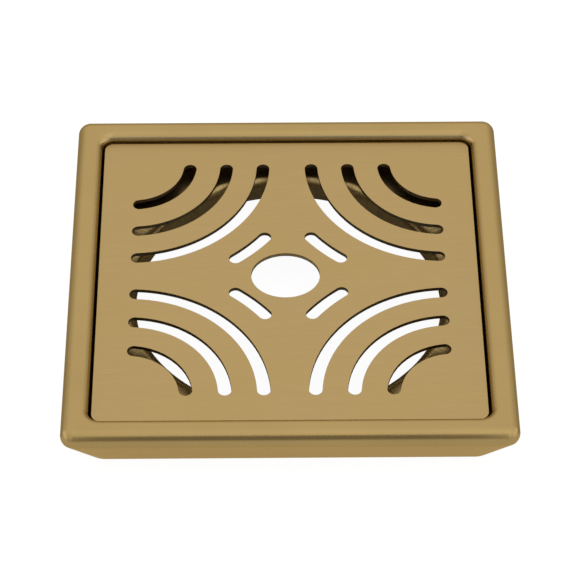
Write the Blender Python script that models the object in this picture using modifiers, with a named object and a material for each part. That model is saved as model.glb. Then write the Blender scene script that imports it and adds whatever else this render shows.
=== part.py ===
"""Square floor drain, 150 mm: a pressed rim frame, a pressed outlet tray under it and a loose slotted grate.

Z = 0 is the plane that the outlet collar stands on. The origin is under the middle of the outlet.
"""

import math

import bmesh
import bpy

MM = 0.001

# Rim frame: one pressed sheet. A skirt leans out from the bottom, rolls over the rim and
# drops down the recess wall to a flat ledge that carries the grate. Its corners tighten
# towards the rim and open out again on the ledge.
FRAME_SHEET = 1.2
FRAME_TOP = 18.3
FRAME_HALF = 75.0
FRAME_CORNER = 4.5
RIM_ROUND = 4.0
SKIRT_FOOT_HALF = 68.7
SKIRT_FOOT_CORNER = 7.7
RECESS_HALF = 66.1
RECESS_CORNER = 4.1
RECESS_ROUND = 3.1
LEDGE_TOP = 13.3
LEDGE_FILLET = 1.0
LEDGE_INNER_HALF = 63.6
LEDGE_INNER_CORNER = 14.0

# Outlet tray: a thinner sheet, lapped under the ledge, with a collar drawn down out of its
# floor. The collar narrows a little towards its foot, which ends in a straight band.
TRAY_SHEET = 1.0
TRAY_LAP_TOP = 11.8
TRAY_LAP_HALF = 67.2
TRAY_WALL_HALF = 63.6
TRAY_WALL_CORNER = 14.0
TRAY_LAP_BEND = 1.5
TRAY_FLOOR_TOP = 8.0
TRAY_FLOOR_FILLET = 2.0
OUTLET_RADIUS = 53.3
COLLAR_BEND = 4.0
COLLAR_FOOT_RADIUS = 52.8
COLLAR_FOOT_BAND = 1.0

# Grate: a flat plate, cut through by four fans of curved slots and one finger hole.
GRATE_HALF = 65.2
GRATE_CORNER = 3.2
GRATE_TOP = 15.1
GRATE_THICKNESS = 1.5
FAN_CENTRE = 54.3
FAN_RADII = (19.95, 32.87, 45.79, 58.7)
SLOT_HALF_WIDTH = 2.25
SHORT_SLOT_HALF_ANGLE = 0.1218
FINGER_HOLE_HALF_X = 11.8
FINGER_HOLE_HALF_Y = 10.4
FINGER_HOLE_OFFSET_X = -0.95

CORNER_STEPS = 6
SIDE_STEPS = 6
RIM_LOW_STEPS = 2
RIM_HIGH_STEPS = 7
BEND_STEPS = 4
SLOT_STEPS = 12
SLOT_END_STEPS = 8
FINGER_HOLE_STEPS = 40

ANTIQUE_BRASS = (0.451, 0.314, 0.133)
SHADED_BRASS = (0.347, 0.239, 0.098)
SATIN_ROUGHNESS = 0.35
DRAWN_ROUGHNESS = 0.3
BRUSHED_ROUGHNESS = 0.4
SHARP_ANGLE = math.radians(35)


def clear_scene():
    for thing in list(bpy.data.objects):
        bpy.data.objects.remove(thing, do_unlink=True)


def drain_collection():
    home = bpy.data.collections.new("floor_drain_grate")
    bpy.context.scene.collection.children.link(home)
    return home


def metal(name, colour, roughness):
    finish = bpy.data.materials.new(name)
    finish.use_nodes = True
    shader = finish.node_tree.nodes["Principled BSDF"]
    shader.inputs["Base Color"].default_value = (*colour, 1.0)
    shader.inputs["Metallic"].default_value = 1.0
    shader.inputs["Roughness"].default_value = roughness
    finish.diffuse_color = (*colour, 1.0)
    finish.metallic = 1.0
    finish.roughness = roughness
    return finish


def rounded_square(half, corner, height, side_steps=1):
    """Points of a rounded square, anticlockwise from the start of the +X +Y corner, in mm."""
    points = []
    for quarter in range(4):
        turn = quarter * math.pi / 2
        across = complex(math.cos(turn), math.sin(turn))
        arc = []
        for step in range(CORNER_STEPS + 1):
            angle = math.pi / 2 * step / CORNER_STEPS
            x = half - corner + corner * math.cos(angle)
            y = half - corner + corner * math.sin(angle)
            arc.append(complex(x, y))
        straight = 2 * (half - corner)
        for step in range(1, side_steps):
            arc.append(arc[CORNER_STEPS] - straight * step / side_steps)
        points += [((p * across).real, (p * across).imag, height) for p in arc]
    return points


def circle(radius, height):
    """Points of a circle, in step with rounded_square's, in mm."""
    per_quarter = CORNER_STEPS + SIDE_STEPS
    points = []
    for step in range(4 * per_quarter):
        angle = math.pi / 4 + (step - CORNER_STEPS / 2) * math.pi / 2 / per_quarter
        points.append((radius * math.cos(angle), radius * math.sin(angle), height))
    return points


def pressed_sheet(name, rings, thickness, finish, home):
    """A sheet through the rings, thickened away from the side that shows."""
    shape = bmesh.new()
    rows = []
    for ring in rings:
        rows.append([shape.verts.new([value * MM for value in point]) for point in ring])
    count = len(rows[0])
    for lower, upper in zip(rows, rows[1:]):
        for i in range(count):
            j = (i + 1) % count
            shape.faces.new((lower[i], lower[j], upper[j], upper[i]))
    mesh = bpy.data.meshes.new(name)
    shape.to_mesh(mesh)
    shape.free()
    sheet = bpy.data.objects.new(name, mesh)
    home.objects.link(sheet)
    mesh.materials.append(finish)
    mesh.shade_smooth()
    mesh.set_sharp_from_angle(angle=SHARP_ANGLE)
    thick = sheet.modifiers.new("sheet_thickness", "SOLIDIFY")
    thick.thickness = thickness * MM
    thick.offset = -1.0
    thick.use_even_offset = True
    thick.use_rim = True
    return sheet


def skirt_tangent():
    """Angle on the rim's round where the straight skirt runs into it, in radians."""
    across = FRAME_HALF - RIM_ROUND - SKIRT_FOOT_HALF
    up = FRAME_TOP - RIM_ROUND
    lean = math.atan2(up, across) - math.asin(RIM_ROUND / math.hypot(across, up))
    return lean - math.pi / 2


def rim_angles():
    """Angles round the rim, from the skirt past its widest point at 0 to its flat top, in radians."""
    start = skirt_tangent()
    angles = [start * (1 - step / RIM_LOW_STEPS) for step in range(RIM_LOW_STEPS)]
    angles += [math.pi / 2 * step / RIM_HIGH_STEPS for step in range(RIM_HIGH_STEPS + 1)]
    return angles


def rim_frame(finish, home):
    rings = [rounded_square(SKIRT_FOOT_HALF, SKIRT_FOOT_CORNER, 0.0)]
    for angle in rim_angles():
        out = RIM_ROUND * (math.cos(angle) - 1)
        up = RIM_ROUND * (math.sin(angle) - 1)
        rings.append(rounded_square(FRAME_HALF + out, FRAME_CORNER + out, FRAME_TOP + up))
    for step in range(BEND_STEPS + 1):
        angle = math.pi / 2 * step / BEND_STEPS
        back = RECESS_ROUND * (1 - math.sin(angle))
        down = RECESS_ROUND * (1 - math.cos(angle))
        rings.append(rounded_square(RECESS_HALF + back, RECESS_CORNER + back, FRAME_TOP - down))
    for step in range(BEND_STEPS // 2 + 1):
        angle = math.pi / 2 * step / (BEND_STEPS // 2)
        inward = LEDGE_FILLET * (1 - math.cos(angle))
        up = LEDGE_FILLET * (1 - math.sin(angle))
        rings.append(rounded_square(RECESS_HALF - inward, RECESS_CORNER - inward, LEDGE_TOP + up))
    rings.append(rounded_square(LEDGE_INNER_HALF, LEDGE_INNER_CORNER, LEDGE_TOP))
    return pressed_sheet("rim_frame", rings, FRAME_SHEET, finish, home)


def tray_ring(half, corner, height):
    return rounded_square(half, corner, height, SIDE_STEPS)


def outlet_tray(finish, home):
    lap = TRAY_WALL_HALF + TRAY_LAP_BEND
    spread = TRAY_LAP_HALF - TRAY_WALL_HALF
    rings = [tray_ring(TRAY_LAP_HALF, TRAY_WALL_CORNER + spread, TRAY_LAP_TOP)]
    for step in range(BEND_STEPS + 1):
        angle = math.pi / 2 * step / BEND_STEPS
        inward = TRAY_LAP_BEND * math.sin(angle)
        down = TRAY_LAP_BEND * (1 - math.cos(angle))
        corner = TRAY_WALL_CORNER + TRAY_LAP_BEND - inward
        rings.append(tray_ring(lap - inward, corner, TRAY_LAP_TOP - down))
    for step in range(BEND_STEPS + 1):
        angle = math.pi / 2 * step / BEND_STEPS
        inward = TRAY_FLOOR_FILLET * (1 - math.cos(angle))
        up = TRAY_FLOOR_FILLET * (1 - math.sin(angle))
        corner = TRAY_WALL_CORNER - inward
        rings.append(tray_ring(TRAY_WALL_HALF - inward, corner, TRAY_FLOOR_TOP + up))
    for step in range(BEND_STEPS + 1):
        angle = math.pi / 2 * step / BEND_STEPS
        out = COLLAR_BEND * (1 - math.sin(angle))
        down = COLLAR_BEND * (1 - math.cos(angle))
        rings.append(circle(OUTLET_RADIUS + out, TRAY_FLOOR_TOP - down))
    rings.append(circle(COLLAR_FOOT_RADIUS, COLLAR_FOOT_BAND))
    rings.append(circle(COLLAR_FOOT_RADIUS, 0.0))
    return pressed_sheet("outlet_tray", rings, TRAY_SHEET, finish, home)


def add_outline(curve, points):
    outline = curve.splines.new("POLY")
    outline.points.add(len(points) - 1)
    for place, (x, y) in zip(outline.points, points):
        place.co = (x * MM, y * MM, 0.0, 1.0)
    outline.use_cyclic_u = True


def arc(centre, radius, first, last, steps):
    """Points along an arc round centre, as (x, y) in mm."""
    points = []
    for step in range(steps + 1):
        angle = first + (last - first) * step / steps
        points.append((centre[0] + radius * math.cos(angle), centre[1] + radius * math.sin(angle)))
    return points


def slot_outline(centre, radius, middle, half_angle):
    """A slot curved round centre, with round ends, as (x, y) points in mm."""
    start, end = middle - half_angle, middle + half_angle
    start_tip, end_tip = arc(centre, radius, start, end, 1)
    outer = arc(centre, radius + SLOT_HALF_WIDTH, start, end, SLOT_STEPS)
    inner = arc(centre, radius - SLOT_HALF_WIDTH, end, start, SLOT_STEPS)
    end_cap = arc(end_tip, SLOT_HALF_WIDTH, end, end + math.pi, SLOT_END_STEPS)
    start_cap = arc(start_tip, SLOT_HALF_WIDTH, start + math.pi, start + 2 * math.pi, SLOT_END_STEPS)
    return outer + end_cap[1:-1] + inner + start_cap[1:-1]


def finger_hole_outline():
    points = []
    for step in range(FINGER_HOLE_STEPS):
        angle = 2 * math.pi * step / FINGER_HOLE_STEPS
        x = FINGER_HOLE_OFFSET_X + FINGER_HOLE_HALF_X * math.cos(angle)
        y = FINGER_HOLE_HALF_Y * math.sin(angle)
        points.append((x, y))
    return points


def grate_plate(finish, home):
    curve = bpy.data.curves.new("grate_plate", "CURVE")
    curve.dimensions = "2D"
    curve.fill_mode = "BOTH"
    curve.extrude = GRATE_THICKNESS / 2 * MM
    edge = rounded_square(GRATE_HALF, GRATE_CORNER, 0.0)
    add_outline(curve, [(x, y) for x, y, _ in edge])
    add_outline(curve, finger_hole_outline())
    for side_x in (-1, 1):
        for side_y in (-1, 1):
            middle = math.atan2(-side_y, -side_x)
            for radius in FAN_RADII:
                half_angle = math.pi / 4 - math.asin(SLOT_HALF_WIDTH / radius)
                if radius == FAN_RADII[-1]:
                    half_angle = SHORT_SLOT_HALF_ANGLE
                centre = (side_x * FAN_CENTRE, side_y * FAN_CENTRE)
                add_outline(curve, slot_outline(centre, radius, middle, half_angle))
    curve.materials.append(finish)
    plate = bpy.data.objects.new("grate_plate", curve)
    plate.location = (0.0, 0.0, (GRATE_TOP - GRATE_THICKNESS / 2) * MM)
    home.objects.link(plate)
    return plate


def build():
    clear_scene()
    home = drain_collection()
    rim_frame(metal("frame_brass", ANTIQUE_BRASS, SATIN_ROUGHNESS), home)
    outlet_tray(metal("tray_brass", SHADED_BRASS, DRAWN_ROUGHNESS), home)
    grate_plate(metal("grate_brass", ANTIQUE_BRASS, BRUSHED_ROUGHNESS), home)


build()
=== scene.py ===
"""Looks for the square floor drain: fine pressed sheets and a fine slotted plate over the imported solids."""

import math

import bmesh
import bpy
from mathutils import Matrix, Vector


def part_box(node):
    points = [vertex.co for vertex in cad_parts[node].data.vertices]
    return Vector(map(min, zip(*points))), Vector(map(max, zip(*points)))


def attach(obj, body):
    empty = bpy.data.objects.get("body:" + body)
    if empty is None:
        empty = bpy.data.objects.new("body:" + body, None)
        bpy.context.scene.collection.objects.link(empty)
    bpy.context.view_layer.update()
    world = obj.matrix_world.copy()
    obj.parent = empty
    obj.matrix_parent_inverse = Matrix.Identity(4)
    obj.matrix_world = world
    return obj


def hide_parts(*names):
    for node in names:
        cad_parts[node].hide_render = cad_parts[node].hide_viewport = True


MM = 0.001

# Rim frame, in millimetres: half widths, corner radii and heights above the foot.
FRAME_SHEET = 1.2
FRAME_CORNER = 4.5
RIM_ROUND = 4.0
SKIRT_FOOT_HALF = 68.7
SKIRT_FOOT_CORNER = 7.7
RECESS_HALF = 66.1
RECESS_CORNER = 4.1
RECESS_ROUND = 3.1
LEDGE_TOP = 13.3
LEDGE_FILLET = 1.0
LEDGE_INNER_HALF = 63.6
LEDGE_INNER_CORNER = 14.0

# Outlet tray.
TRAY_SHEET = 1.0
TRAY_LAP_TOP = 12.08
TRAY_LAP_HALF = 67.2
TRAY_WALL_HALF = 63.6
TRAY_WALL_CORNER = 14.0
TRAY_LAP_BEND = 1.5
TRAY_FLOOR_TOP = 8.0
TRAY_FLOOR_FILLET = 2.0
OUTLET_RADIUS = 53.3
COLLAR_BEND = 4.0
COLLAR_FOOT_RADIUS = 52.8
COLLAR_FOOT_BAND = 1.0

# Grate.
GRATE_CORNER = 3.2
EDGE_BREAK = 0.09
FAN_CENTRE = 54.3
FAN_RADII = (19.95, 32.87, 45.79, 58.7)
SLOT_HALF_WIDTH = 2.25
SHORT_SLOT_HALF_ANGLE = 0.1218
FINGER_HOLE_HALF_X = 11.8
FINGER_HOLE_HALF_Y = 10.4
FINGER_HOLE_OFFSET_X = -0.95

# How finely each curve is cut into steps.
FRAME_CORNER_STEPS = 16
FRAME_SIDE_STEPS = 12
SKIRT_STEPS = 6
RIM_STEPS = 24
RECESS_STEPS = 12
LEDGE_FILLET_STEPS = 6
TRAY_CORNER_STEPS = 18
TRAY_SIDE_STEPS = 24
LAP_BEND_STEPS = 6
FLOOR_FILLET_STEPS = 10
COLLAR_BEND_STEPS = 12
GRATE_CORNER_STEPS = 14
FINGER_HOLE_STEPS = 96
SLOT_END_STEPS = 16
LEAST_SLOT_STEPS = 8
SLOT_STEP_LENGTH = 1.2

# The ledge's inner edge is broken: this far across and down, in millimetres.
LEDGE_EDGE_ACROSS = 0.3
LEDGE_EDGE_DOWN = 0.15

SHEET_SHARP_ANGLE = 40
PLATE_SHARP_ANGLE = 18
WELD_DISTANCE = 1e-6

# Camera: it looks down on the drain from the front, with a long lens.
CAMERA_TARGET = (0.0005, -0.00705, 0.0151)
CAMERA_DISTANCE = 0.919
CAMERA_AZIMUTH = 0.658
CAMERA_ELEVATION = 47.033
CAMERA_ROLL = 0.136
CAMERA_LENS = 167.0
CAMERA_SENSOR = 36.0
CAMERA_NEAREST = 0.01
CAMERA_FURTHEST = 100.0

# Studio light by elevation in degrees: in front of the drain, on the camera's side, and behind it.
LIGHT_LEVEL = 1.5
FRONT_LIGHT = ((0, 0.45), (90, 0.87), (20, 0.61), (40, 0.76), (55, 0.84))
BACK_LIGHT = ((0, 0.44), (90, 0.75), (11, 0.46), (19, 0.54), (27, 0.64), (40, 0.72), (48, 0.7), (60, 0.7))
SIDE_LIGHT = 0.84
SIDE_LIGHT_EDGES = (0.74, 0.88)
LEFT_DIMMING = 0.78
LEFT_DIMMING_EDGE = 0.12
FRONT_TO_BACK_EDGE = 0.35
FRONT_FLOOR_LIGHT = 0.7
BACK_FLOOR_LIGHT = 0.4
SEEN_FLOOR_LIGHT = 0.94
FLOOR_SHADE = 0.12

# Where the floor's sheets lie, in metres: their half sizes, their depths and where the reflected one changes.
SEEN_FLOOR_HALF = 30.0
SEEN_FLOOR_DEPTH = 0.0001
REFLECTED_FLOOR_HALF = 15.0
REFLECTED_FLOOR_DEPTH = 0.0006
REFLECTED_FLOOR_CHANGE_Y = -0.06
UNDER_DRAIN_DEPTH = 0.0004
UNDER_DRAIN_SHADE = 0.5

# The dark sheet under the drain stops this far short of the skirt's foot, to stay inside its round corners.
UNDER_DRAIN_MARGIN = 2.5

# The black flag that draws the dark line along the front of the rim, in millimetres.
FLAG_DISTANCE = 175.0
FLAG_HALF_WIDTH = 84.0
FLAG_BOTTOM = 29.0
FLAG_TOP = 138.0
FLAG_LIGHT = 0.25
FLAG_SHADE = 0.05

ANTIQUE_GOLD = (0.451, 0.314, 0.133)
FRAME_GOLD = (0.42, 0.29, 0.114)
SHADOW_GOLD = (0.48, 0.345, 0.148)
# Painted light: a paler, less saturated gold for the recess wall, standing in for the light it reflects.
RECESS_PAINTED_LIGHT_GOLD = (0.46, 0.365, 0.195)
# Painted shade and light on the plate's cut faces: dark in the narrow slots, paler round the finger hole and
# along the outer edge.
CUT_FACE_PAINTED_SHADE_GOLD = (0.2, 0.156, 0.085)
HOLE_EDGE_PAINTED_LIGHT_GOLD = (0.54, 0.41, 0.22)
OUTER_EDGE_PAINTED_LIGHT_GOLD = (0.44, 0.34, 0.18)
GRAZING_TINT = (0.91, 0.76, 0.52)

# Where the colours change, painted light and shade among them, in metres, each as a start and an end: heights
# above the foot, and distances from the middle, measured square except round the finger hole.
RECESS_REACH = (0.0670, 0.0682)
RECESS_PAINTED_LIGHT_HEIGHT = (0.0163, 0.0176)
# Painted shade: a near-black strip at the foot of the recess wall, on the left and right sides, where the gap
# lies in shade.
PAINTED_SHADE_REACH = (0.0646, 0.0650)
PAINTED_SHADE_HEIGHT = (0.0138, 0.0158)
PAINTED_SHADE_SIDES = (-0.001, 0.002)
PAINTED_SHADE_DARKNESS = 0.11
FINGER_HOLE_REACH = (0.0124, 0.0132)
OUTER_EDGE_REACH = (0.064, 0.0648)
CUT_FACE_SLOPE = (0.3, 0.9)


# ---------------------------------------------------------------- shapes


def rounded_square(half, corner, height, corner_steps, side_steps=1):
    """Points of a rounded square, anticlockwise from the start of the +X +Y corner, in mm."""
    points = []
    for quarter in range(4):
        across = complex(math.cos(quarter * math.pi / 2), math.sin(quarter * math.pi / 2))
        run = []
        for step in range(corner_steps + 1):
            angle = math.pi / 2 * step / corner_steps
            x = half - corner + corner * math.cos(angle)
            y = half - corner + corner * math.sin(angle)
            run.append(complex(x, y))
        straight = 2 * (half - corner)
        for step in range(1, side_steps):
            run.append(run[corner_steps] - straight * step / side_steps)
        points += [((p * across).real, (p * across).imag, height) for p in run]
    return points


def circle(radius, height, corner_steps, side_steps):
    """Points of a circle, in step with rounded_square's, in mm."""
    per_quarter = corner_steps + side_steps
    points = []
    for step in range(4 * per_quarter):
        angle = math.pi / 4 + (step - corner_steps / 2) * math.pi / 2 / per_quarter
        points.append((radius * math.cos(angle), radius * math.sin(angle), height))
    return points


def pressed_sheet(name, rings, thickness):
    """A sheet lofted through the rings and thickened away from the side that shows."""
    shape = bmesh.new()
    rows = []
    for ring in rings:
        rows.append([shape.verts.new([value * MM for value in point]) for point in ring])
    count = len(rows[0])
    for lower, upper in zip(rows, rows[1:]):
        for i in range(count):
            j = (i + 1) % count
            shape.faces.new((lower[i], lower[j], upper[j], upper[i]))
    mesh = bpy.data.meshes.new(name)
    shape.to_mesh(mesh)
    shape.free()
    sheet = bpy.data.objects.new(name, mesh)
    bpy.context.scene.collection.objects.link(sheet)
    thick = sheet.modifiers.new("sheet_thickness", "SOLIDIFY")
    thick.thickness = thickness * MM
    thick.offset = -1.0
    thick.use_even_offset = True
    finish_mesh(sheet, SHEET_SHARP_ANGLE)
    return sheet


def finish_mesh(piece, sharp_angle):
    """Applies the piece's modifiers, welds what meets and shades it."""
    bpy.context.view_layer.update()
    graph = bpy.context.evaluated_depsgraph_get()
    mesh = bpy.data.meshes.new_from_object(piece.evaluated_get(graph))
    shape = bmesh.new()
    shape.from_mesh(mesh)
    bmesh.ops.remove_doubles(shape, verts=shape.verts, dist=WELD_DISTANCE)
    shape.to_mesh(mesh)
    shape.free()
    mesh.shade_smooth()
    mesh.set_sharp_from_angle(angle=math.radians(sharp_angle))
    if piece.type == "MESH":
        piece.modifiers.clear()
        piece.data = mesh
        return piece
    name = piece.name
    bpy.data.objects.remove(piece)
    solid = bpy.data.objects.new(name, mesh)
    bpy.context.scene.collection.objects.link(solid)
    return solid


def skirt_tangent(half, top):
    """Angle on the rim's round where the straight skirt runs into it, in radians."""
    across = half - RIM_ROUND - SKIRT_FOOT_HALF
    up = top - RIM_ROUND
    lean = math.atan2(up, across) - math.asin(RIM_ROUND / math.hypot(across, up))
    return lean - math.pi / 2


def rim_rings(half, top):
    """The frame's rings, from the skirt's foot over the rim and down to the ledge."""
    rings = []

    def ring(reach, corner, height):
        rings.append(rounded_square(reach, corner, height, FRAME_CORNER_STEPS, FRAME_SIDE_STEPS))

    start = skirt_tangent(half, top)
    out = RIM_ROUND * (math.cos(start) - 1)
    up = RIM_ROUND * (math.sin(start) - 1)
    for step in range(SKIRT_STEPS):
        part = step / SKIRT_STEPS
        reach = SKIRT_FOOT_HALF + (half + out - SKIRT_FOOT_HALF) * part
        corner = SKIRT_FOOT_CORNER + (FRAME_CORNER + out - SKIRT_FOOT_CORNER) * part
        ring(reach, corner, (top + up) * part)
    for step in range(RIM_STEPS + 1):
        angle = start + (math.pi / 2 - start) * step / RIM_STEPS
        out = RIM_ROUND * (math.cos(angle) - 1)
        ring(half + out, FRAME_CORNER + out, top + RIM_ROUND * (math.sin(angle) - 1))
    for step in range(RECESS_STEPS + 1):
        angle = math.pi / 2 * step / RECESS_STEPS
        back = RECESS_ROUND * (1 - math.sin(angle))
        down = RECESS_ROUND * (1 - math.cos(angle))
        ring(RECESS_HALF + back, RECESS_CORNER + back, top - down)
    for step in range(LEDGE_FILLET_STEPS + 1):
        angle = math.pi / 2 * step / LEDGE_FILLET_STEPS
        inward = LEDGE_FILLET * (1 - math.cos(angle))
        up = LEDGE_FILLET * (1 - math.sin(angle))
        ring(RECESS_HALF - inward, RECESS_CORNER - inward, LEDGE_TOP + up)
    ring(LEDGE_INNER_HALF + LEDGE_EDGE_ACROSS, LEDGE_INNER_CORNER + LEDGE_EDGE_ACROSS, LEDGE_TOP)
    ring(LEDGE_INNER_HALF, LEDGE_INNER_CORNER, LEDGE_TOP - LEDGE_EDGE_DOWN)
    return rings


def tray_rings():
    """The tray's rings, from its lap under the ledge down the wall, over the floor and into the collar."""
    rings = []

    def ring(reach, corner, height):
        rings.append(rounded_square(reach, corner, height, TRAY_CORNER_STEPS, TRAY_SIDE_STEPS))

    def round_ring(radius, height):
        rings.append(circle(radius, height, TRAY_CORNER_STEPS, TRAY_SIDE_STEPS))

    spread = TRAY_LAP_HALF - TRAY_WALL_HALF
    ring(TRAY_LAP_HALF, TRAY_WALL_CORNER + spread, TRAY_LAP_TOP)
    for step in range(LAP_BEND_STEPS + 1):
        angle = math.pi / 2 * step / LAP_BEND_STEPS
        out = TRAY_LAP_BEND * (1 - math.sin(angle))
        down = TRAY_LAP_BEND * (1 - math.cos(angle))
        ring(TRAY_WALL_HALF + out, TRAY_WALL_CORNER + out, TRAY_LAP_TOP - down)
    for step in range(FLOOR_FILLET_STEPS + 1):
        angle = math.pi / 2 * step / FLOOR_FILLET_STEPS
        inward = TRAY_FLOOR_FILLET * (1 - math.cos(angle))
        up = TRAY_FLOOR_FILLET * (1 - math.sin(angle))
        ring(TRAY_WALL_HALF - inward, TRAY_WALL_CORNER - inward, TRAY_FLOOR_TOP + up)
    for step in range(COLLAR_BEND_STEPS + 1):
        angle = math.pi / 2 * step / COLLAR_BEND_STEPS
        out = COLLAR_BEND * (1 - math.sin(angle))
        down = COLLAR_BEND * (1 - math.cos(angle))
        round_ring(OUTLET_RADIUS + out, TRAY_FLOOR_TOP - down)
    round_ring(COLLAR_FOOT_RADIUS, COLLAR_FOOT_BAND)
    round_ring(COLLAR_FOOT_RADIUS, 0.0)
    return rings


def add_outline(curve, points):
    outline = curve.splines.new("POLY")
    outline.points.add(len(points) - 1)
    for place, (x, y) in zip(outline.points, points):
        place.co = (x * MM, y * MM, 0.0, 1.0)
    outline.use_cyclic_u = True


def slot_outline(centre, radius, middle, half_angle):
    """A curved slot with round ends, as (x, y) points in mm."""
    points = []
    steps = max(LEAST_SLOT_STEPS, round(half_angle * radius / SLOT_STEP_LENGTH))

    def point(reach, angle, base=centre):
        points.append((base[0] + reach * math.cos(angle), base[1] + reach * math.sin(angle)))

    for step in range(steps + 1):
        point(radius + SLOT_HALF_WIDTH, middle - half_angle + 2 * half_angle * step / steps)
    for end in (1, -1):
        angle = middle + end * half_angle
        tip = (centre[0] + radius * math.cos(angle), centre[1] + radius * math.sin(angle))
        first = angle if end == 1 else angle + math.pi
        for step in range(1, SLOT_END_STEPS):
            point(SLOT_HALF_WIDTH, first + math.pi * step / SLOT_END_STEPS, tip)
        if end == 1:
            for step in range(steps + 1):
                point(radius - SLOT_HALF_WIDTH, angle - 2 * half_angle * step / steps)
    return points


def slotted_plate(name, low, high):
    """The grate: a flat outline with its slots and hole, cut through, with the edges just broken."""
    half = (high.x - low.x) / 2 / MM
    curve = bpy.data.curves.new(name, "CURVE")
    curve.dimensions = "2D"
    curve.fill_mode = "BOTH"
    curve.extrude = (high.z - low.z) / 2 - EDGE_BREAK * MM
    curve.bevel_depth = EDGE_BREAK * MM
    curve.bevel_resolution = 1
    curve.offset = -EDGE_BREAK * MM
    outside = rounded_square(half, GRATE_CORNER, 0.0, GRATE_CORNER_STEPS)
    add_outline(curve, [(x, y) for x, y, _ in outside])
    hole = []
    for step in range(FINGER_HOLE_STEPS):
        angle = 2 * math.pi * step / FINGER_HOLE_STEPS
        x = FINGER_HOLE_OFFSET_X + FINGER_HOLE_HALF_X * math.cos(angle)
        hole.append((x, FINGER_HOLE_HALF_Y * math.sin(angle)))
    add_outline(curve, hole)
    for side_x in (-1, 1):
        for side_y in (-1, 1):
            centre = (side_x * FAN_CENTRE, side_y * FAN_CENTRE)
            middle = math.atan2(-side_y, -side_x)
            for radius in FAN_RADII:
                half_angle = math.pi / 4 - math.asin(SLOT_HALF_WIDTH / radius)
                if radius == FAN_RADII[-1]:
                    half_angle = SHORT_SLOT_HALF_ANGLE
                add_outline(curve, slot_outline(centre, radius, middle, half_angle))
    plate = bpy.data.objects.new(name, curve)
    bpy.context.scene.collection.objects.link(plate)
    plate = finish_mesh(plate, PLATE_SHARP_ANGLE)
    plate.location = (low + high) / 2
    return plate


# ---------------------------------------------------------------- materials


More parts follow.
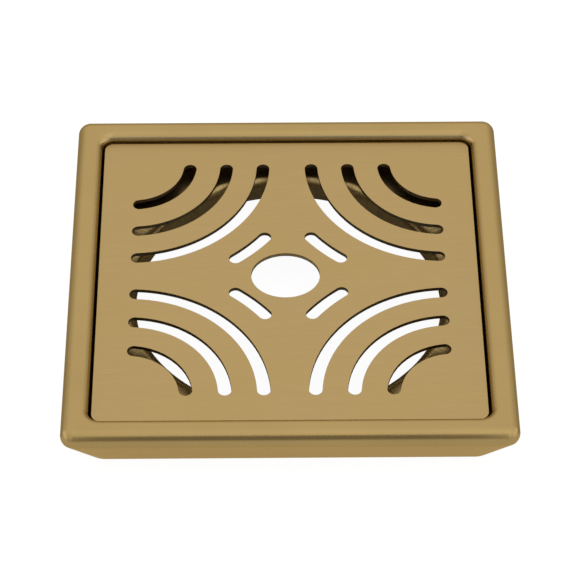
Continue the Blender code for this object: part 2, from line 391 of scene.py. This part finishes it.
class Nodes:
    """A short way to write a material's nodes."""

    def __init__(self, name):
        self.material = bpy.data.materials.new(name)
        self.material.use_nodes = True
        self.tree = self.material.node_tree
        self.shader = self.tree.nodes["Principled BSDF"]
        self.shader.inputs["Metallic"].default_value = 1.0
        self.shader.inputs["Specular Tint"].default_value = (*GRAZING_TINT, 1.0)
        self.place = self.add("ShaderNodeTexCoord").outputs["Object"]

    def add(self, kind, **settings):
        node = self.tree.nodes.new(kind)
        for key, value in settings.items():
            setattr(node, key, value)
        return node

    def link(self, source, target):
        self.tree.links.new(source, target)

    def split(self, vector):
        node = self.add("ShaderNodeSeparateXYZ")
        self.link(vector, node.inputs["Vector"])
        return node.outputs

    def reach(self):
        """Distance from the middle, measured square: the greater of |x| and |y|, in metres."""
        x, y, _ = self.split(self.place)
        return self.math("MAXIMUM", self.math("ABSOLUTE", x), self.math("ABSOLUTE", y))

    def distance(self):
        node = self.add("ShaderNodeVectorMath", operation="LENGTH")
        self.link(self.place, node.inputs[0])
        return node.outputs["Value"]

    def along_edges(self, fine, coarse):
        """Coordinates that run fast across the frame's sides and slowly along them."""
        x, y, z = self.split(self.place)
        node = self.add("ShaderNodeCombineXYZ")
        self.link(self.math("MULTIPLY", self.reach(), fine), node.inputs["X"])
        self.link(self.math("MULTIPLY", self.math("ADD", x, y), coarse), node.inputs["Y"])
        self.link(self.math("MULTIPLY", z, fine), node.inputs["Z"])
        return node.outputs["Vector"]

    def around(self, turns, rise):
        """Coordinates that run fast round the Z axis and slowly up it."""
        x, y, z = self.split(self.place)
        flat = self.add("ShaderNodeCombineXYZ")
        self.link(x, flat.inputs["X"])
        self.link(y, flat.inputs["Y"])
        unit = self.add("ShaderNodeVectorMath", operation="NORMALIZE")
        self.link(flat.outputs["Vector"], unit.inputs[0])
        x, y, _ = self.split(unit.outputs["Vector"])
        both = self.add("ShaderNodeCombineXYZ")
        self.link(self.math("MULTIPLY", x, turns), both.inputs["X"])
        self.link(self.math("MULTIPLY", y, turns), both.inputs["Y"])
        self.link(self.math("MULTIPLY", z, rise), both.inputs["Z"])
        return both.outputs["Vector"]

    def stretch(self, scale):
        """Object coordinates in metres, multiplied by scale."""
        node = self.add("ShaderNodeMapping")
        node.inputs["Scale"].default_value = scale
        self.link(self.place, node.inputs["Vector"])
        return node.outputs["Vector"]

    def noise(self, vector, detail=2.0, roughness=0.5):
        node = self.add("ShaderNodeTexNoise")
        node.inputs["Scale"].default_value = 1.0
        node.inputs["Detail"].default_value = detail
        node.inputs["Roughness"].default_value = roughness
        self.link(vector, node.inputs["Vector"])
        return node.outputs["Fac"]

    def spread(self, value, low, high, start=0.3, end=0.7):
        """Low up to start, high from end on, and a straight slope between them."""
        node = self.add("ShaderNodeMapRange")
        node.inputs["From Min"].default_value = start
        node.inputs["From Max"].default_value = end
        node.inputs["To Min"].default_value = low
        node.inputs["To Max"].default_value = high
        self.link(value, node.inputs["Value"])
        return node.outputs["Result"]

    def math(self, operation, first, second=0.0):
        node = self.add("ShaderNodeMath", operation=operation)
        for socket, value in zip(node.inputs, (first, second)):
            if isinstance(value, (int, float)):
                socket.default_value = value
            else:
                self.link(value, socket)
        return node.outputs["Value"]

    def mix(self, part, first, second, blend="MIX"):
        node = self.add("ShaderNodeMix", data_type="RGBA", blend_type=blend)
        for name, value in (("Factor", part), ("A", first), ("B", second)):
            kind = "VALUE" if name == "Factor" else "RGBA"
            socket = [s for s in node.inputs if s.name == name and s.type == kind][0]
            if isinstance(value, (int, float)):
                socket.default_value = value
            elif isinstance(value, tuple):
                socket.default_value = (*value, 1.0)
            else:
                self.link(value, socket)
        return [s for s in node.outputs if s.type == "RGBA"][0]

    def bump(self, height, strength, distance, normal=None):
        node = self.add("ShaderNodeBump")
        node.inputs["Strength"].default_value = strength
        node.inputs["Distance"].default_value = distance
        self.link(height, node.inputs["Height"])
        if normal is not None:
            self.link(normal, node.inputs["Normal"])
        return node.outputs["Normal"]


def scaled(colour, amount):
    return tuple(channel * amount for channel in colour)


def brushed_gold():
    """The grate: fine straight brushing along X on its face, with painted shade on the cut edges in the slots
    and painted light on those round the finger hole and along the outer edge.
    """
    n = Nodes("brushed_gold")
    fine = n.noise(n.stretch((90, 5200, 5200)), detail=3, roughness=0.65)
    bands = n.noise(n.stretch((12, 900, 900)), detail=2)
    cloud = n.noise(n.stretch((22, 30, 30)), detail=2)
    tone = n.mix(n.spread(bands, 0, 1), scaled(ANTIQUE_GOLD, 0.975), scaled(ANTIQUE_GOLD, 1.025))
    warm = n.mix(n.spread(cloud, 0, 1), (1.0, 0.99, 0.95), (0.99, 1.0, 1.04))
    tone = n.mix(1.0, tone, warm, "MULTIPLY")
    grain = n.spread(fine, 0.94, 1.06)
    shade = n.add("ShaderNodeCombineColor")
    for socket in shade.inputs:
        n.link(grain, socket)
    tone = n.mix(1.0, tone, shade.outputs["Color"], "MULTIPLY")
    facing = n.add("ShaderNodeTexCoord").outputs["Normal"]
    # Painted shade on the cut faces in the slots, and painted light on those round the finger hole and along
    # the outer edge.
    cut = n.spread(n.math("ABSOLUTE", n.split(facing)["Z"]), 1, 0, *CUT_FACE_SLOPE)
    rim = n.spread(n.distance(), 0, 1, *FINGER_HOLE_REACH)
    outer = n.spread(n.reach(), 0, 1, *OUTER_EDGE_REACH)
    edge = n.mix(outer, CUT_FACE_PAINTED_SHADE_GOLD, OUTER_EDGE_PAINTED_LIGHT_GOLD)
    tone = n.mix(cut, tone, n.mix(rim, HOLE_EDGE_PAINTED_LIGHT_GOLD, edge))
    n.link(tone, n.shader.inputs["Base Color"])
    n.link(n.spread(n.math("ADD", fine, bands), 0.34, 0.46, 0.7, 1.3), n.shader.inputs["Roughness"])
    n.shader.inputs["Anisotropic"].default_value = 0.35
    along = n.add("ShaderNodeCombineXYZ")
    along.inputs["X"].default_value = 1.0
    n.link(along.outputs["Vector"], n.shader.inputs["Tangent"])
    waves = n.bump(n.noise(n.stretch((14, 18, 18)), detail=1), 0.25, 0.0004)
    n.link(n.bump(fine, 0.12, 0.00003, waves), n.shader.inputs["Normal"])
    return n.material


def satin_gold():
    """The frame: satin pressed sheet, with painted light down the recess wall and painted shade at its foot
    on two sides.
    """
    n = Nodes("satin_gold")
    fine = n.noise(n.along_edges(1900, 60), detail=3, roughness=0.6)
    cloud = n.noise(n.stretch((35, 35, 60)), detail=3)
    tone = n.mix(n.spread(cloud, 0, 1), scaled(FRAME_GOLD, 0.965), scaled(FRAME_GOLD, 1.035))
    height = n.split(n.place)["Z"]
    inside = n.spread(n.reach(), 1, 0, *RECESS_REACH)
    # Painted light: the inside of the frame below the rim takes the paler gold that stands in for its
    # reflected light.
    painted_recess_light = n.math("MULTIPLY", inside, n.spread(height, 1, 0, *RECESS_PAINTED_LIGHT_HEIGHT))
    tone = n.mix(painted_recess_light, tone, RECESS_PAINTED_LIGHT_GOLD)
    # Painted shade: darkens the foot of the recess wall on the left and right sides.
    foot = n.math("MULTIPLY", inside, n.spread(n.reach(), 0, 1, *PAINTED_SHADE_REACH))
    x, y, _ = n.split(n.place)
    sideways = n.math("SUBTRACT", n.math("ABSOLUTE", x), n.math("ABSOLUTE", y))
    foot = n.math("MULTIPLY", foot, n.spread(sideways, 0, 1, *PAINTED_SHADE_SIDES))
    painted_shade = n.math("MULTIPLY", foot, n.spread(height, 1, 0, *PAINTED_SHADE_HEIGHT))
    tone = n.mix(painted_shade, tone, scaled(CUT_FACE_PAINTED_SHADE_GOLD, PAINTED_SHADE_DARKNESS))
    n.link(tone, n.shader.inputs["Base Color"])
    n.link(n.spread(fine, 0.24, 0.29), n.shader.inputs["Roughness"])
    waves = n.bump(n.noise(n.stretch((30, 30, 30)), detail=1), 0.08, 0.0005)
    n.link(n.bump(fine, 0.03, 0.00002, waves), n.shader.inputs["Normal"])
    return n.material


def drawn_gold():
    """The tray: drawn sheet, with the die's marks running out from the outlet."""
    n = Nodes("drawn_gold")
    fine = n.noise(n.around(210, 60), detail=2, roughness=0.5)
    cloud = n.noise(n.stretch((60, 60, 60)), detail=3)
    tone = n.mix(n.spread(cloud, 0, 1), scaled(SHADOW_GOLD, 0.93), scaled(SHADOW_GOLD, 1.07))
    tone = n.mix(n.spread(fine, 0, 0.45), tone, scaled(SHADOW_GOLD, 0.35))
    n.link(tone, n.shader.inputs["Base Color"])
    n.link(n.spread(fine, 0.28, 0.42), n.shader.inputs["Roughness"])
    waves = n.bump(n.noise(n.stretch((70, 70, 70)), detail=2), 0.2, 0.0004)
    n.link(n.bump(fine, 0.12, 0.00003, waves), n.shader.inputs["Normal"])
    return n.material


# ---------------------------------------------------------------- studio


def panel(name, place, half_x, half_y, material):
    """A flat rectangle of the stage, lying level, in metres."""
    shape = bmesh.new()
    bmesh.ops.create_grid(shape, x_segments=1, y_segments=1, size=1.0)
    bmesh.ops.scale(shape, vec=(half_x, half_y, 1.0), verts=shape.verts)
    mesh = bpy.data.meshes.new(name)
    shape.to_mesh(mesh)
    shape.free()
    mesh.materials.append(material)
    flat = bpy.data.objects.new(name, mesh)
    flat.location = place
    bpy.context.scene.collection.objects.link(flat)
    return flat


def glow(name, shade, light):
    """A matt stage material that also gives off light."""
    lit = bpy.data.materials.new(name)
    lit.use_nodes = True
    shader = lit.node_tree.nodes["Principled BSDF"]
    shader.inputs["Base Color"].default_value = (shade, shade, shade, 1.0)
    shader.inputs["Roughness"].default_value = 1.0
    shader.inputs["Specular IOR Level"].default_value = 0.0
    shader.inputs["Emission Color"].default_value = (1.0, 1.0, 1.0, 1.0)
    shader.inputs["Emission Strength"].default_value = light
    return lit


def floor():
    """Pale sheets: the camera sees one, and the metal reflects the others, which the camera doesn't see."""
    lit = glow("pale_floor_seen", FLOOR_SHADE, SEEN_FLOOR_LIGHT)
    place = (0.0, 0.0, -SEEN_FLOOR_DEPTH)
    seen = panel("floor_seen", place, SEEN_FLOOR_HALF, SEEN_FLOOR_HALF, lit)
    seen.visible_diffuse = False
    seen.visible_glossy = False
    seen.visible_transmission = False
    seen.visible_shadow = False
    half = REFLECTED_FLOOR_HALF
    for name, side, light in (("front", -1, FRONT_FLOOR_LIGHT), ("back", 1, BACK_FLOOR_LIGHT)):
        lit = glow("pale_floor_" + name, FLOOR_SHADE, light)
        place = (0.0, REFLECTED_FLOOR_CHANGE_Y + side * half, -REFLECTED_FLOOR_DEPTH)
        below = panel("floor_reflected_" + name, place, half, half, lit)
        below.visible_camera = False
    foot = (SKIRT_FOOT_HALF - UNDER_DRAIN_MARGIN) * MM
    unlit = glow("shaded_floor", UNDER_DRAIN_SHADE, 0.0)
    dark = panel("floor_under_drain", (0.0, 0.0, -UNDER_DRAIN_DEPTH), foot, foot, unlit)
    dark.visible_camera = False


def black_flag():
    """A dark upright card in front of the drain, which the metal reflects and the camera doesn't see."""
    place = (0.0, -FLAG_DISTANCE * MM, (FLAG_TOP + FLAG_BOTTOM) / 2 * MM)
    half_height = (FLAG_TOP - FLAG_BOTTOM) / 2 * MM
    cloth = glow("flag_cloth", FLAG_SHADE, FLAG_LIGHT)
    flag = panel("black_flag", place, FLAG_HALF_WIDTH * MM, half_height, cloth)
    flag.rotation_euler.x = math.pi / 2
    flag.visible_camera = False


class Sky:
    """The studio's light: a short way to write the world's nodes."""

    def __init__(self):
        world = bpy.data.worlds.new("studio")
        world.use_nodes = True
        bpy.context.scene.world = world
        self.tree = world.node_tree
        self.tree.nodes.clear()

    def add(self, kind, **settings):
        node = self.tree.nodes.new(kind)
        for key, value in settings.items():
            setattr(node, key, value)
        return node

    def link(self, source, target):
        self.tree.links.new(source, target)

    def ramp(self, value, stops):
        """Brightness by height: stops are (elevation in degrees, radiance)."""
        node = self.add("ShaderNodeValToRGB")
        self.link(value, node.inputs["Fac"])
        elements = node.color_ramp.elements
        for index, (elevation, level) in enumerate(stops):
            position = 0.5 + 0.5 * math.sin(math.radians(elevation))
            element = elements[index] if index < 2 else elements.new(position)
            element.position = position
            element.color = (level, level, level, 1.0)
        return node.outputs["Color"]


def sky():
    """Soft light from all round: bright overhead and at the sides, dimmer near the floor's edge."""
    s = Sky()
    place = s.add("ShaderNodeTexCoord").outputs["Generated"]
    split = s.add("ShaderNodeSeparateXYZ")
    s.link(place, split.inputs["Vector"])
    height = s.add("ShaderNodeMath", operation="MULTIPLY_ADD")
    height.inputs[1].default_value = 0.5
    height.inputs[2].default_value = 0.5
    s.link(split.outputs["Z"], height.inputs[0])
    front = s.ramp(height.outputs["Value"], FRONT_LIGHT)
    back = s.ramp(height.outputs["Value"], BACK_LIGHT)
    side = s.add("ShaderNodeMapRange")
    side.inputs["From Min"].default_value = -FRONT_TO_BACK_EDGE
    side.inputs["From Max"].default_value = FRONT_TO_BACK_EDGE
    s.link(split.outputs["Y"], side.inputs["Value"])
    left = s.add("ShaderNodeMapRange")
    left.inputs["From Min"].default_value = -LEFT_DIMMING_EDGE
    left.inputs["From Max"].default_value = LEFT_DIMMING_EDGE
    left.inputs["To Min"].default_value = LEFT_DIMMING
    s.link(split.outputs["X"], left.inputs["Value"])
    dimmed = s.add("ShaderNodeVectorMath", operation="SCALE")
    s.link(front, dimmed.inputs[0])
    s.link(left.outputs["Result"], dimmed.inputs["Scale"])
    both = s.add("ShaderNodeMix", data_type="RGBA")
    s.link(side.outputs["Result"], both.inputs["Factor"])
    s.link(dimmed.outputs["Vector"], both.inputs[6])
    s.link(back, both.inputs[7])
    across = s.add("ShaderNodeMath", operation="ABSOLUTE")
    s.link(split.outputs["X"], across.inputs[0])
    boxes = s.add("ShaderNodeMapRange")
    boxes.inputs["From Min"].default_value = SIDE_LIGHT_EDGES[0]
    boxes.inputs["From Max"].default_value = SIDE_LIGHT_EDGES[1]
    s.link(across.outputs["Value"], boxes.inputs["Value"])
    whole = s.add("ShaderNodeMix", data_type="RGBA")
    s.link(boxes.outputs["Result"], whole.inputs["Factor"])
    s.link(both.outputs[2], whole.inputs[6])
    whole.inputs[7].default_value = (SIDE_LIGHT, SIDE_LIGHT, SIDE_LIGHT, 1.0)
    light = s.add("ShaderNodeBackground")
    s.link(whole.outputs[2], light.inputs["Color"])
    light.inputs["Strength"].default_value = LIGHT_LEVEL
    white = s.add("ShaderNodeBackground")
    white.inputs["Color"].default_value = (1.0, 1.0, 1.0, 1.0)
    rays = s.add("ShaderNodeLightPath")
    pick = s.add("ShaderNodeMixShader")
    out = s.add("ShaderNodeOutputWorld")
    s.link(rays.outputs["Is Camera Ray"], pick.inputs["Fac"])
    s.link(light.outputs["Background"], pick.inputs[1])
    s.link(white.outputs["Background"], pick.inputs[2])
    s.link(pick.outputs["Shader"], out.inputs["Surface"])


def camera():
    """The camera, aimed by named angles."""
    azimuth = math.radians(CAMERA_AZIMUTH)
    elevation = math.radians(CAMERA_ELEVATION)
    ahead = Vector(
        (
            math.sin(azimuth) * math.cos(elevation),
            math.cos(azimuth) * math.cos(elevation),
            -math.sin(elevation),
        )
    )
    eye = bpy.data.objects.new("camera", bpy.data.cameras.new("camera"))
    bpy.context.scene.collection.objects.link(eye)
    eye.location = Vector(CAMERA_TARGET) - CAMERA_DISTANCE * ahead
    turn = ahead.to_track_quat("-Z", "Y").to_matrix()
    roll = math.radians(CAMERA_ROLL)
    across = turn.col[0] * math.cos(roll) + turn.col[1] * math.sin(roll)
    upward = turn.col[1] * math.cos(roll) - turn.col[0] * math.sin(roll)
    for row in range(3):
        turn[row][0] = across[row]
        turn[row][1] = upward[row]
    eye.rotation_euler = turn.to_euler()
    eye.data.lens = CAMERA_LENS
    eye.data.sensor_width = CAMERA_SENSOR
    eye.data.clip_start = CAMERA_NEAREST
    eye.data.clip_end = CAMERA_FURTHEST
    bpy.context.scene.camera = eye


# ---------------------------------------------------------------- the object


def dress(piece, node, body, material):
    piece.data.materials.clear()
    piece.data.materials.append(material)
    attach(piece, body)
    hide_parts(node)


def build():
    frame_low, frame_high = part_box("rim_frame")
    half = (frame_high.x - frame_low.x) / 2 / MM
    top = frame_high.z / MM
    rim = pressed_sheet("pressed_rim_frame", rim_rings(half, top), FRAME_SHEET)
    dress(rim, "rim_frame", "drain_body", satin_gold())
    tray = pressed_sheet("drawn_outlet_tray", tray_rings(), TRAY_SHEET)
    dress(tray, "outlet_tray", "drain_body", drawn_gold())
    plate = slotted_plate("slotted_grate_plate", *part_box("grate_plate"))
    dress(plate, "grate_plate", "grate", brushed_gold())


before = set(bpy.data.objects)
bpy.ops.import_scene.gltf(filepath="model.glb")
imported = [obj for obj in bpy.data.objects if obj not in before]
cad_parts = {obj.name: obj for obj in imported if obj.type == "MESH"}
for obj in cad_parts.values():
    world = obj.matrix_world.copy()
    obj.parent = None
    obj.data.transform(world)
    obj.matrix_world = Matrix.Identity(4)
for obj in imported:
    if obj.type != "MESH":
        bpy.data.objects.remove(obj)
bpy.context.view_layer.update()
bpy.context.scene.view_settings.view_transform = "Standard"
build()
floor()
black_flag()
sky()
camera()
